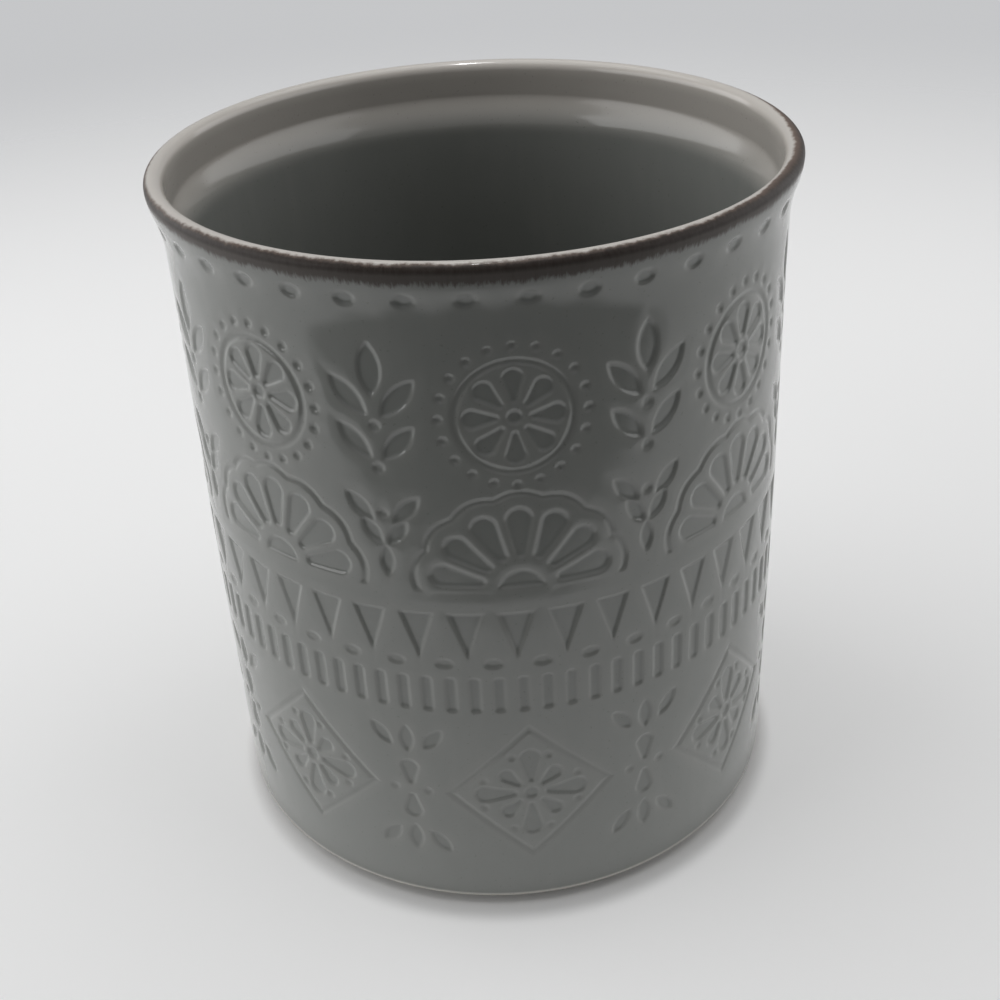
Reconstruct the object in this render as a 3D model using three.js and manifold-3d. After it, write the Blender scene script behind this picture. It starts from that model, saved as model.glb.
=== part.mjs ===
// Stoneware utensil crock, modelled as the four zones that are formed and finished apart:
// an unglazed foot ring, a floor slab, a wall pressed with lace relief, and a flared lip.
// Millimetres, +Z up. The origin is the centre of the foot, on the table.

import * as THREE from "three";
import { mergeVertices } from "three/addons/utils/BufferGeometryUtils.js";
import Module from "manifold-3d";

const wasm = await Module();
wasm.setup();

// Body of the crock: its bore, its walls and its lip
const WELL_RADIUS = 70.2; // inside of the wall, from the floor to the throat
const WALL_THICKNESS = 6.6; // over the lower half
const NECK_PINCH = 1.1; // how far the neck draws in from the belly, outside
const LIP_OVERHANG = 2.4; // how far the lip flares out from the neck
const LIP_THICKNESS = 4.5;
const LIP_HEIGHT = 5.5; // lip zone, above the wall
const LIP_OUTER_ROUND = 2;
const NECK_DROP = 12.5; // from the foot of the lip down to the slimmest ring
const THROAT_DROP = 3; // from the foot of the lip down to the top of the inner shoulder
const SHOULDER_HEIGHT = 8; // inner shoulder that narrows the mouth to the well
const MOUTH_DRAFT = 0.3; // the inside of the lip leans in this much, down to the shoulder
const FLARE_POWER = 1.5; // the lip's flare starts slowly and turns out late
const WELL_FILLET = 5; // round between the floor and the wall, inside
const FLOOR_THICKNESS = 6;
const BASE_EDGE_ROUND = 1; // lower edge of the glazed wall
const FOOT_HEIGHT = 2.8; // bare foot, below the glazed wall
const FOOT_SET_IN = 4; // how far the foot stands back from the outside of the wall
const FOOT_EDGE_ROUND = 0.5;
const FOOT_WIDTH = 10.8; // ring that touches the table

// Relief, pressed into the wall. Its courses are stacked from the floor zone up to the lip.
const RELIEF_DEPTH = 0.9;
const REPEATS = 8; // lozenges, fans and medallions round the wall
const MOTIF_BEARING_DEG = 4; // first lozenge, fan and medallion, from the front to the right
const BASE_MARGIN = 3.7;
const LOZENGE_HEIGHT = 43.5;
const LOZENGE_WIDTH = 42;
const FRAME_LINE = 1.4; // width of the line round a lozenge or a medallion
const LOZENGES_TO_DASHES = 5;
const DASH_HEIGHT = 10;
const DASH_WIDTH = 2.4;
const DASH_PITCH = 5.74;
const DASH_BEARING_DEG = -0.8;
const DASHES_TO_TEETH = 6.4;
const TOOTH_HEIGHT = 12; // hanging triangles
const TOOTH_WIDTH = 7.6;
const TOOTH_PITCH = 11.5;
const TOOTH_BEARING_DEG = 2.7;
const TEETH_TO_FANS = 6.6;
const FAN_PETALS = 7;
const FAN_RADIUS = 21; // to the tips of its petals
const FAN_EYE = 8.5; // plain half round that the petals stand on
const PETAL_TIP_WIDTH = 6;
const PETAL_ROOT_WIDTH = 2.4;
const FANS_TO_MEDALLIONS = 8.5;
const MEDALLION_RADIUS = 13.5;
const MEDALLIONS_TO_EYELETS = 12;
const EYELET_HEIGHT = 3;
const EYELET_WIDTH = 4.2;
const EYELET_PITCH = 12.4;
const EYELET_BEARING_DEG = -2.4;
const EYELETS_TO_LIP = 1;

// How finely round shapes are cut into flat ones
const TURN_STEPS = 64;
const PROFILE_STEPS = 3;
const FRAME_SIDE_STEPS = 3;
const RING_STEPS = 10;
const PETAL_END_STEPS = 2;
const EYELET_STEPS = 6;
const CUT_OVERRUN = 2; // how far a relief cutter starts outside the wall

// Radii that follow from the walls
const BELLY_RADIUS = WELL_RADIUS + WALL_THICKNESS;
const NECK_RADIUS = BELLY_RADIUS - NECK_PINCH;
const LIP_RADIUS = NECK_RADIUS + LIP_OVERHANG;
const MOUTH_RADIUS = LIP_RADIUS - LIP_THICKNESS;
const LIP_INNER_ROUND = LIP_THICKNESS - LIP_OUTER_ROUND;
const FOOT_RADIUS = BELLY_RADIUS - FOOT_SET_IN;

// Heights that follow from the stack, which comes to 179 in all
const FLOOR_TOP = FOOT_HEIGHT + FLOOR_THICKNESS;
const WALL_FOOT = FLOOR_TOP + WELL_FILLET;
const LOZENGE_MIDDLE = WALL_FOOT + BASE_MARGIN + LOZENGE_HEIGHT / 2;
const LOZENGE_TOP = LOZENGE_MIDDLE + LOZENGE_HEIGHT / 2;
const DASH_MIDDLE = LOZENGE_TOP + LOZENGES_TO_DASHES + DASH_HEIGHT / 2;
const TOOTH_TIPS = DASH_MIDDLE + DASH_HEIGHT / 2 + DASHES_TO_TEETH;
const FAN_FOOT = TOOTH_TIPS + TOOTH_HEIGHT + TEETH_TO_FANS;
const MEDALLION_MIDDLE = FAN_FOOT + FAN_RADIUS + FANS_TO_MEDALLIONS + MEDALLION_RADIUS;
const EYELET_MIDDLE = MEDALLION_MIDDLE + MEDALLION_RADIUS + MEDALLIONS_TO_EYELETS + EYELET_HEIGHT / 2;
const LIP_FOOT = EYELET_MIDDLE + EYELET_HEIGHT / 2 + EYELETS_TO_LIP;
const CROCK_HEIGHT = LIP_FOOT + LIP_HEIGHT;
const LIP_WIDEST = CROCK_HEIGHT - LIP_OUTER_ROUND;
const NECK_LEVEL = LIP_FOOT - NECK_DROP;
const SHOULDER_TOP = LIP_FOOT - THROAT_DROP;
const SHOULDER_FOOT = SHOULDER_TOP - SHOULDER_HEIGHT;

const smooth = (t) => THREE.MathUtils.smoothstep(t, 0, 1);

// Outside radius at a height: straight belly, a slight waist up to the neck, then the lip's flare.
function outerRadius(z) {
  if (z <= NECK_LEVEL) {
    const share = (z - LOZENGE_TOP) / (NECK_LEVEL - LOZENGE_TOP);
    return BELLY_RADIUS + (NECK_RADIUS - BELLY_RADIUS) * smooth(share);
  }
  const share = (z - NECK_LEVEL) / (LIP_WIDEST - NECK_LEVEL);
  return NECK_RADIUS + (LIP_RADIUS - NECK_RADIUS) * smooth(Math.pow(share, FLARE_POWER));
}

// Inside radius at a height: straight well, a rounded shoulder, then the open mouth.
function innerRadius(z) {
  const throat = MOUTH_RADIUS - MOUTH_DRAFT;
  if (z <= SHOULDER_TOP) {
    return WELL_RADIUS + (throat - WELL_RADIUS) * smooth((z - SHOULDER_FOOT) / SHOULDER_HEIGHT);
  }
  const lipTop = CROCK_HEIGHT - LIP_INNER_ROUND;
  return throat + MOUTH_DRAFT * ((z - SHOULDER_TOP) / (lipTop - SHOULDER_TOP));
}

// Heights spread evenly from one level to another, both ends included.
function levels(from, to, steps) {
  return Array.from({ length: steps + 1 }, (_, i) => from + ((to - from) * i) / steps);
}

// A solid of revolution from an outline of (radius, height) points, drawn anticlockwise.
// An outline that starts on the axis ends there too, and any other closes on itself.
function turned(outline) {
  const closing = outline[0].x === 0 ? [] : [outline[0]];
  const geometry = new THREE.LatheGeometry([...outline, ...closing], TURN_STEPS);
  return geometry.rotateX(Math.PI / 2);
}

// Points of a quarter round or other arc, angles in degrees from the outward direction.
function arcPoints(radius, height, round, fromDeg, toDeg) {
  const curve = new THREE.EllipseCurve(
    radius,
    height,
    round,
    round,
    THREE.MathUtils.degToRad(fromDeg),
    THREE.MathUtils.degToRad(toDeg),
    toDeg < fromDeg,
  );
  return curve.getPoints(PROFILE_STEPS);
}

const at = (radius, height) => new THREE.Vector2(radius, height);

function footRing() {
  const outside = arcPoints(FOOT_RADIUS - FOOT_EDGE_ROUND, FOOT_EDGE_ROUND, FOOT_EDGE_ROUND, -90, 0);
  const inside = FOOT_RADIUS - FOOT_WIDTH;
  return turned([at(inside, 0), ...outside, at(FOOT_RADIUS, FOOT_HEIGHT), at(inside, FOOT_HEIGHT)]);
}

function floorSlab() {
  const fillet = arcPoints(WELL_RADIUS - WELL_FILLET, WALL_FOOT, WELL_FILLET, 0, -90);
  const edgeLevel = FOOT_HEIGHT + BASE_EDGE_ROUND;
  const edge = arcPoints(BELLY_RADIUS - BASE_EDGE_ROUND, edgeLevel, BASE_EDGE_ROUND, -90, 0);
  return turned([at(0, FOOT_HEIGHT), ...edge, at(BELLY_RADIUS, WALL_FOOT), ...fillet, at(0, FLOOR_TOP)]);
}

function plainWall() {
  const outside = [
    WALL_FOOT,
    ...levels(LOZENGE_TOP, NECK_LEVEL, PROFILE_STEPS),
    ...levels(NECK_LEVEL, LIP_FOOT, PROFILE_STEPS).slice(1),
  ].map((z) => at(outerRadius(z), z));
  const inside = [LIP_FOOT, ...levels(SHOULDER_TOP, SHOULDER_FOOT, PROFILE_STEPS), WALL_FOOT];
  return turned([...outside, ...inside.map((z) => at(innerRadius(z), z))]);
}

function rimLip() {
  const outside = levels(LIP_FOOT, LIP_WIDEST, PROFILE_STEPS).map((z) => at(outerRadius(z), z));
  const outerRound = arcPoints(LIP_RADIUS - LIP_OUTER_ROUND, LIP_WIDEST, LIP_OUTER_ROUND, 0, 90);
  const innerTop = CROCK_HEIGHT - LIP_INNER_ROUND;
  const innerRound = arcPoints(MOUTH_RADIUS + LIP_INNER_ROUND, innerTop, LIP_INNER_ROUND, 90, 180);
  return turned([...outside, ...outerRound.slice(1), ...innerRound, at(innerRadius(LIP_FOOT), LIP_FOOT)]);
}

// A closed mesh as a solid that can be joined and cut.
function solidOf(geometry) {
  const bare = geometry.clone();
  bare.deleteAttribute("normal");
  bare.deleteAttribute("uv");
  const merged = mergeVertices(bare);
  return new wasm.Manifold(
    new wasm.Mesh({
      numProp: 3,
      vertProperties: merged.attributes.position.array,
      triVerts: new Uint32Array(merged.index.array),
    }),
  );
}

function geometryOf(solid) {
  const mesh = solid.getMesh();
  const geometry = new THREE.BufferGeometry();
  geometry.setAttribute("position", new THREE.BufferAttribute(mesh.vertProperties, 3));
  geometry.setIndex(new THREE.BufferAttribute(mesh.triVerts, 1));
  geometry.computeVertexNormals();
  return geometry;
}

// A relief cutter: a flat shape, x along the wall and y up it, bent round the wall where it belongs.
function cutter(shape, bearing, height) {
  const geometry = new THREE.ExtrudeGeometry(shape, {
    depth: RELIEF_DEPTH + CUT_OVERRUN,
    bevelEnabled: false,
  });
  const points = geometry.attributes.position;
  for (let i = 0; i < points.count; i++) {
    const z = height + points.getY(i);
    const angle = bearing + points.getX(i) / BELLY_RADIUS;
    const radius = outerRadius(z) - RELIEF_DEPTH + points.getZ(i);
    points.setXYZ(i, radius * Math.sin(angle), -radius * Math.cos(angle), z);
  }
  return solidOf(geometry);
}

// A drop-shaped petal that points away from the fan's middle.
function petal(direction) {
  const tip = PETAL_TIP_WIDTH / 2;
  const root = PETAL_ROOT_WIDTH / 2;
  const ends = [
    { middle: FAN_RADIUS - tip, half: tip, from: -Math.PI / 2 },
    { middle: FAN_EYE + root, half: root, from: Math.PI / 2 },
  ];
  const points = ends.flatMap(({ middle, half, from }) =>
    levels(from, from + Math.PI, PETAL_END_STEPS).map((angle) =>
      at(middle + half * Math.cos(angle), half * Math.sin(angle)).rotateAround(at(0, 0), direction),
    ),
  );
  return new THREE.Shape(points);
}

// Petals side by side over a half circle.
function fan() {
  const spacing = Math.PI / FAN_PETALS;
  return levels(spacing / 2, Math.PI - spacing / 2, FAN_PETALS - 1).map(petal);
}

// A line of even width between two like outlines.
function lineBetween(outer, inner) {
  const line = new THREE.Shape(outer);
  line.holes.push(new THREE.Path(inner));
  return line;
}

// Corners of a lozenge, set in from the full one, with points along its sides.
function lozenge(inset) {
  const lean = Math.hypot(LOZENGE_WIDTH, LOZENGE_HEIGHT);
  const halfWidth = LOZENGE_WIDTH / 2 - (inset * lean) / LOZENGE_HEIGHT;
  const halfHeight = LOZENGE_HEIGHT / 2 - (inset * lean) / LOZENGE_WIDTH;
  const corners = [at(halfWidth, 0), at(0, halfHeight), at(-halfWidth, 0), at(0, -halfHeight)];
  return corners.flatMap((corner, i) =>
    levels(0, 1, FRAME_SIDE_STEPS)
      .slice(0, -1)
      .map((share) => corner.clone().lerp(corners[(i + 1) % corners.length], share)),
  );
}

// Points round an ellipse, the first one not repeated.
function ellipse(width, height, steps) {
  return new THREE.EllipseCurve(0, 0, width / 2, height / 2).getPoints(steps).slice(1);
}

function lozengeFrame() {
  return lineBetween(lozenge(0), lozenge(FRAME_LINE));
}

function medallionFrame() {
  const outer = 2 * MEDALLION_RADIUS;
  const inner = outer - 2 * FRAME_LINE;
  return lineBetween(ellipse(outer, outer, RING_STEPS), ellipse(inner, inner, RING_STEPS));
}

function tooth() {
  const half = TOOTH_WIDTH / 2;
  return new THREE.Shape([at(0, 0), at(half, TOOTH_HEIGHT), at(-half, TOOTH_HEIGHT)]);
}

function dash() {
  const x = DASH_WIDTH / 2;
  const y = DASH_HEIGHT / 2;
  return new THREE.Shape([at(-x, -y), at(x, -y), at(x, y), at(-x, y)]);
}

function eyelet() {
  return new THREE.Shape(ellipse(EYELET_WIDTH, EYELET_HEIGHT, EYELET_STEPS));
}

// One course of relief: its shapes, repeated evenly round the wall at one height.
function course(shapes, count, firstDeg, height) {
  const first = THREE.MathUtils.degToRad(firstDeg);
  const bearings = levels(first, first + 2 * Math.PI, count).slice(0, -1);
  return bearings.flatMap((bearing) => shapes.map((shape) => cutter(shape, bearing, height)));
}

// Copies that fit round the wall at a pitch.
const countRound = (pitch) => Math.round((2 * Math.PI * BELLY_RADIUS) / pitch);

// All the relief as one cutting tool, from the floor zone up to the lip.
function reliefTool() {
  const cutters = [
    ...course([lozengeFrame()], REPEATS, MOTIF_BEARING_DEG, LOZENGE_MIDDLE),
    ...course([dash()], countRound(DASH_PITCH), DASH_BEARING_DEG, DASH_MIDDLE),
    ...course([tooth()], countRound(TOOTH_PITCH), TOOTH_BEARING_DEG, TOOTH_TIPS),
    ...course(fan(), REPEATS, MOTIF_BEARING_DEG, FAN_FOOT),
    ...course([medallionFrame()], REPEATS, MOTIF_BEARING_DEG, MEDALLION_MIDDLE),
    ...course([eyelet()], countRound(EYELET_PITCH), EYELET_BEARING_DEG, EYELET_MIDDLE),
  ];
  return cutters.reduce((joined, next) => joined.add(next));
}

function reliefWall() {
  return geometryOf(solidOf(plainWall()).subtract(reliefTool()));
}

const greyGlaze = () => new THREE.MeshStandardMaterial({ color: 0x8b8d88, roughness: 0.16, metalness: 0 });
const brownEdge = () => new THREE.MeshStandardMaterial({ color: 0x3a302b, roughness: 0.3, metalness: 0 });
const bareClay = () => new THREE.MeshStandardMaterial({ color: 0xcfc6b8, roughness: 0.85, metalness: 0 });

function node(name, geometry, material) {
  const mesh = new THREE.Mesh(geometry, material);
  mesh.name = name;
  return mesh;
}

const crock = new THREE.Group();
crock.add(node("foot_ring", footRing(), bareClay()));
crock.add(node("floor_slab", floorSlab(), greyGlaze()));
crock.add(node("crock_wall", reliefWall(), greyGlaze()));
crock.add(node("rim_lip", rimLip(), brownEdge()));

export default crock;
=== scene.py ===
import math

import bpy
import numpy as np
from mathutils import Matrix, Vector


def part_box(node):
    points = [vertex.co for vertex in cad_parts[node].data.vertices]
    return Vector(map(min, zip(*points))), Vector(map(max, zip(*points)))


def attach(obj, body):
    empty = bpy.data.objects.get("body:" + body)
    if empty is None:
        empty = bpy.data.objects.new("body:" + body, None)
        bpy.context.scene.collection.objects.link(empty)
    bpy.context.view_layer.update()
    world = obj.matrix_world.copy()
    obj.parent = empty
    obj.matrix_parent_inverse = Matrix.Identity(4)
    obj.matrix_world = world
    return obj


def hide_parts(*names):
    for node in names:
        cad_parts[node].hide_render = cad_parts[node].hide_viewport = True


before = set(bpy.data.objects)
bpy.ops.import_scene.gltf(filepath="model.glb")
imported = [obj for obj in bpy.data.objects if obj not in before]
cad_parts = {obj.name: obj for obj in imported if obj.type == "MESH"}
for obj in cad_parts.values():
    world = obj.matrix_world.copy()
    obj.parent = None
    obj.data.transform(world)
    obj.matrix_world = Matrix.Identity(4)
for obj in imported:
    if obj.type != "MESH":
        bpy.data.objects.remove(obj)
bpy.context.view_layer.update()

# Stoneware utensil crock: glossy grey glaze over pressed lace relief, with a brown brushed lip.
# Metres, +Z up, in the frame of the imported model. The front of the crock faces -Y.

MM = 0.001
TURN = 2 * math.pi

# Levels and radii that the solids give
LIP_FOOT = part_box("rim_lip")[0].z
RIM_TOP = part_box("rim_lip")[1].z
LIP_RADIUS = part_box("rim_lip")[1].x
WALL_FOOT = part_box("crock_wall")[0].z
BELLY_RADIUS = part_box("floor_slab")[1].x
FOOT_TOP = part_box("foot_ring")[1].z
FOOT_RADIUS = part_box("foot_ring")[1].x

# Walls, lip and foot, as in the solids
WALL_THICKNESS = 6.6 * MM
NECK_PINCH = 1.1 * MM
LIP_THICKNESS = 4.5 * MM
LIP_OUTER_ROUND = 2 * MM
LIP_INNER_ROUND = LIP_THICKNESS - LIP_OUTER_ROUND
NECK_DROP = 12.5 * MM
MOUTH_DRAFT = 0.3 * MM
FLARE_POWER = 1.5
WELL_FILLET = 5 * MM
BASE_EDGE_ROUND = 1 * MM
FOOT_WIDTH = 10.8 * MM
FOOT_EDGE_ROUND = 0.5 * MM

# Shoulder inside the mouth, a little longer and softer than in the solids, as thick glaze leaves it
THROAT_DROP = 3.6 * MM
SHOULDER_HEIGHT = 11 * MM
SHOULDER_POWER = 1.5

# Levels and radii that follow
WELL_RADIUS = BELLY_RADIUS - WALL_THICKNESS
NECK_RADIUS = BELLY_RADIUS - NECK_PINCH
MOUTH_RADIUS = LIP_RADIUS - LIP_THICKNESS
FLOOR_TOP = WALL_FOOT - WELL_FILLET
NECK_LEVEL = LIP_FOOT - NECK_DROP
LIP_WIDEST = RIM_TOP - LIP_OUTER_ROUND
LIP_INNER_TOP = RIM_TOP - LIP_INNER_ROUND
SHOULDER_TOP = LIP_FOOT - THROAT_DROP
SHOULDER_FOOT = SHOULDER_TOP - SHOULDER_HEIGHT

# Relief courses, as in the solids
REPEATS = 8
MOTIF_BEARING = math.radians(4)
BETWEEN_BEARING = MOTIF_BEARING + TURN / REPEATS / 2
BASE_MARGIN = 3.7 * MM
LOZENGE_HEIGHT = 43.5 * MM
LOZENGE_WIDTH = 42 * MM
FRAME_LINE = 1.4 * MM
LOZENGES_TO_DASHES = 5 * MM
DASHES = 84
DASH_BEARING = math.radians(-0.8)
DASH_HEIGHT = 10 * MM
DASH_WIDTH = 2.4 * MM
DASHES_TO_TEETH = 6.4 * MM
TEETH = 42
TOOTH_BEARING = math.radians(2.7)
TOOTH_HEIGHT = 12 * MM
TOOTH_WIDTH = 7.6 * MM
TEETH_TO_FANS = 6.6 * MM
FAN_PETALS = 7
FAN_RADIUS = 21 * MM
FAN_EYE = 8.5 * MM
FANS_TO_MEDALLIONS = 8.5 * MM
MEDALLION_RADIUS = 13.5 * MM
EYELETS = 39
EYELET_BEARING = math.radians(-2.4)
EYELET_HEIGHT = 3 * MM
EYELET_WIDTH = 4.2 * MM
EYELETS_TO_LIP = 1 * MM

# Levels of the courses, stacked from the foot of the wall up
LOZENGE_MIDDLE = WALL_FOOT + BASE_MARGIN + LOZENGE_HEIGHT / 2
LOZENGE_TOP = LOZENGE_MIDDLE + LOZENGE_HEIGHT / 2
DASH_MIDDLE = LOZENGE_TOP + LOZENGES_TO_DASHES + DASH_HEIGHT / 2
TOOTH_TIPS = DASH_MIDDLE + DASH_HEIGHT / 2 + DASHES_TO_TEETH
FAN_FOOT = TOOTH_TIPS + TOOTH_HEIGHT + TEETH_TO_FANS
MEDALLION_MIDDLE = FAN_FOOT + FAN_RADIUS + FANS_TO_MEDALLIONS + MEDALLION_RADIUS
EYELET_MIDDLE = LIP_FOOT - EYELETS_TO_LIP - EYELET_HEIGHT / 2

# Levels where two courses of the wall meet
DASH_SEAM = LOZENGE_TOP + 2.5 * MM
TOOTH_SEAM = TOOTH_TIPS - 4.4 * MM
FAN_SEAM = FAN_FOOT - 3 * MM
MEDALLION_SEAM = FAN_FOOT + FAN_RADIUS + 5.6 * MM
NECK_SEAM = NECK_LEVEL + 1 * MM

# Petals of the finer relief: start and end from the middle of the motif, width at the root and at the tip
LONG_PETAL = (3.6 * MM, 14 * MM, 1.6 * MM, 5.2 * MM)
SHORT_PETAL = (3.6 * MM, 10.2 * MM, 1.4 * MM, 3.8 * MM)
SPRIG_BUD = (1.8 * MM, 9.5 * MM, 1.8 * MM, 4.6 * MM)
FAN_PETAL = (FAN_EYE, FAN_RADIUS, 2.4 * MM, 6 * MM)
MEDALLION_PETAL = (3.4 * MM, 11.2 * MM, 1.5 * MM, 4.6 * MM)
LOZENGE_PETALS = 4  # of each length
MEDALLION_PETALS = 8

# Leaves of the finer relief: place beside and above the middle, length, width, and lean in degrees
SPRIG_LEAVES = (
    (0, 16.6 * MM, 8.2 * MM, 3.4 * MM, 90),
    (6.6 * MM, 17.2 * MM, 7.6 * MM, 3.2 * MM, 52),
)
FAN_LEAVES = (
    (3 * MM, 14.6 * MM, 7.4 * MM, 3.2 * MM, 56),
    (5.4 * MM, 20.6 * MM, 8.6 * MM, 3.6 * MM, 48),
    (0, 7 * MM, 7.6 * MM, 3 * MM, 90),
)
MEDALLION_LEAVES = (
    (0, 11 * MM, 12 * MM, 5 * MM, 90),
    (5.6 * MM, 4.6 * MM, 11.5 * MM, 4.4 * MM, 48),
    (5 * MM, -6 * MM, 10.5 * MM, 4.2 * MM, 48),
)

# Dots of the finer relief: place beside and above the middle, and radius
LOZENGE_EYE = (0, 0, 1.7 * MM)
SPRIG_DOT = (4.4 * MM, 0, 1 * MM)
FAN_DOT = (0, 19.4 * MM, 1.1 * MM)
MEDALLION_EYE = (0, 0, 1.6 * MM)
MEDALLION_DOTS = ((0, -2.2 * MM, 1.2 * MM), (0, -12.4 * MM, 1.2 * MM))
BORDER_BEADS = 20
BORDER_BEAD = (16.2 * MM, 0, 0.95 * MM)

# Other sizes of the finer relief
BEAD_RADIUS = 0.95 * MM  # beads inside a lozenge
BEAD_INSET = 3.6 * MM
BEAD_SHIFT = 7.4 * MM
BEAD_STRETCH = 1.5
DASH_CORNER = 0.9 * MM
OVAL_DROP = 2 * MM  # ovals between the tips of the hanging triangles
OVAL_WIDTH = 4 * MM
OVAL_HEIGHT = 2.4 * MM
SCALLOP = 1.1 * MM  # swing of the line over a fan
ARCH_CLEARANCE = 3.3 * MM
ARCH_LINE = 1.3 * MM
FAN_HUB = 5 * MM
FAN_HUB_FOOT = 0.6 * MM

# Relief as pressed: how deep, and how wide its glazed edges are. The ground sinks a little round each motif.
RELIEF_SIZES = {
    "Deep Press": 0.45 * MM,
    "Fine Press": 0.3 * MM,
    "Deep Softness": 0.55 * MM,
    "Fine Softness": 0.45 * MM,
    "Sink": 0.1 * MM,
    "Sink Reach": 3.5 * MM,
}
SINK_FADE = 2 * MM  # towards the foot of the wall and the lip

# Mesh fineness
RELIEF_COLUMNS = 1120
PLAIN_COLUMNS = 480
RELIEF_ROW = 0.44 * MM
CURVE_ROW = 0.35 * MM
EDGE_ROW = 2 * MM
PLAIN_ROW = 6 * MM
ROUND_STEPS = 4  # at least, in a quarter round


# Node trees written as expressions


class Graph:
    """A node tree whose nodes are added one by one."""

    def __init__(self, tree):
        self.tree = tree
        tree.nodes.clear()

    def node(self, kind, settings=None, inputs=None, output=0):
        """Adds a node: its settings first, then the values or links of its sockets."""
        made = self.tree.nodes.new(kind)
        for name, value in (settings or {}).items():
            setattr(made, name, value)
        for key, value in (inputs or {}).items():
            if isinstance(value, Wire):
                self.tree.links.new(value.socket, made.inputs[key])
            else:
                made.inputs[key].default_value = value
        return Wire(self, made.outputs[output]) if made.outputs else None


class Wire:
    """One output of a node. Arithmetic on it adds Math nodes to its tree."""

    def __init__(self, graph, socket):
        self.graph = graph
        self.socket = socket

    def math(self, operation, *values):
        inputs = dict(enumerate((self, *values)))
        return self.graph.node("ShaderNodeMath", {"operation": operation}, inputs)

    def reflected(self, operation, value):
        return self.graph.node("ShaderNodeMath", {"operation": operation}, {0: value, 1: self})

    def __add__(self, other):
        return self.math("ADD", other)

    def __radd__(self, other):
        return self.reflected("ADD", other)

    def __sub__(self, other):
        return self.math("SUBTRACT", other)

    def __rsub__(self, other):
        return self.reflected("SUBTRACT", other)

    def __mul__(self, other):
        return self.math("MULTIPLY", other)

    def __rmul__(self, other):
        return self.reflected("MULTIPLY", other)

    def __truediv__(self, other):
        return self.math("DIVIDE", other)

    def __neg__(self):
        return self.math("MULTIPLY", -1)

    def __abs__(self):
        return self.math("ABSOLUTE")

    def least(self, other):
        return self.math("MINIMUM", other)

    def most(self, other):
        return self.math("MAXIMUM", other)

    def wrapped(self, half):
        return self.math("WRAP", half, -half)

    def ranged(self, interpolation, start, end):
        settings = {"interpolation_type": interpolation}
        inputs = {"Value": self, "From Min": start, "From Max": end}
        return self.graph.node("ShaderNodeMapRange", settings, inputs)

    def eased(self, start, end):
        """0 before start and 1 after end, with a smooth step between; start may be the higher one."""
        return self.ranged("SMOOTHSTEP", start, end)

    def share(self, start, end):
        """0 at start and 1 at end, held there beyond."""
        return self.ranged("LINEAR", start, end)


def axes(graph, place):
    """The three numbers of a place."""
    first = graph.node("ShaderNodeSeparateXYZ", None, {0: place})
    return [Wire(graph, output) for output in first.socket.node.outputs]


def hypot(x, y):
    return (x * x + y * y).math("SQRT")


def least_of(distances):
    nearest = distances[0]
    for distance in distances[1:]:
        nearest = nearest.least(distance)
    return nearest


# Relief motifs: each gives the distance from its edge, negative inside, with x along the wall and y up it


def ellipse(x, y, width, height):
    return (hypot(x / (width / 2), y / (height / 2)) - 1) * (min(width, height) / 2)


def dot(x, y, beside, above, radius):
    return hypot(x - beside, y - above) - radius


def round_bar(x, y, width, height, corner):
    beyond_x = (abs(x) - (width / 2 - corner)).most(0)
    beyond_y = (abs(y) - (height / 2 - corner)).most(0)
    return hypot(beyond_x, beyond_y) - corner


def petal(along, across, start, end, root_width, tip_width):
    """A drop that widens from its root to its tip."""
    root = root_width / 2
    tip = tip_width / 2
    span = (end - tip) - (start + root)
    run = along - (start + root)
    place = run.share(0, span)
    return hypot(run - place * span, across) - (place * (tip - root) + root)


def leaf(x, y, beside, above, length, width, lean):
    """A pointed oval that leans some degrees from the x axis."""
    x = x - beside
    y = y - above
    turn = math.radians(lean)
    along = x * math.cos(turn) + y * math.sin(turn)
    across = y * math.cos(turn) - x * math.sin(turn)
    bow = ((length / 2) ** 2 + (width / 2) ** 2) / width
    return hypot(abs(across) + (bow - width / 2), along) - bow


def line_at(distance, width):
    """A line of even width, just inside an edge."""
    return abs(distance + width / 2) - width / 2


def folded(x, y, copies, first):
    """Along and across the nearest of some rays, spread evenly round the middle."""
    reach = hypot(x, y)
    angle = (y.math("ARCTAN2", x) - first).wrapped(math.pi / copies)
    return reach * angle.math("COSINE"), reach * angle.math("SINE")


def repeated(bearing, copies, first):
    """Distance along the wall from the nearest of some copies."""
    return (bearing - first).wrapped(math.pi / copies) * BELLY_RADIUS


def lozenge_course(bearing, level):
    """Lozenge frames filled with a rosette, and sprigs in the corners between them."""
    x = repeated(bearing, REPEATS, MOTIF_BEARING)
    y = level - LOZENGE_MIDDLE
    slope = LOZENGE_WIDTH * LOZENGE_HEIGHT / 2 / math.hypot(LOZENGE_WIDTH, LOZENGE_HEIGHT)
    edge = (abs(x) / (LOZENGE_WIDTH / 2) + abs(y) / (LOZENGE_HEIGHT / 2) - 1) * slope
    bead_along = (abs(abs(x) - abs(y)) - BEAD_SHIFT) / BEAD_STRETCH
    between_x = abs(repeated(bearing, REPEATS, BETWEEN_BEARING))
    between_y = abs(y)
    deep = [
        petal(*folded(x, y, LOZENGE_PETALS, 0), *LONG_PETAL),
        petal(*folded(x, y, LOZENGE_PETALS, TURN / LOZENGE_PETALS / 2), *SHORT_PETAL),
        dot(x, y, *LOZENGE_EYE),
        petal(between_y, between_x, *SPRIG_BUD),
    ]
    deep += [leaf(between_x, between_y, *sizes) for sizes in SPRIG_LEAVES]
    fine = [
        line_at(edge, FRAME_LINE),
        hypot(edge + BEAD_INSET, bead_along) - BEAD_RADIUS,
        dot(between_x, between_y, *SPRIG_DOT),
    ]
    return deep, fine


def dash_course(bearing, level):
    x = repeated(bearing, DASHES, DASH_BEARING)
    return [round_bar(x, level - DASH_MIDDLE, DASH_WIDTH, DASH_HEIGHT, DASH_CORNER)], []


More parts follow.
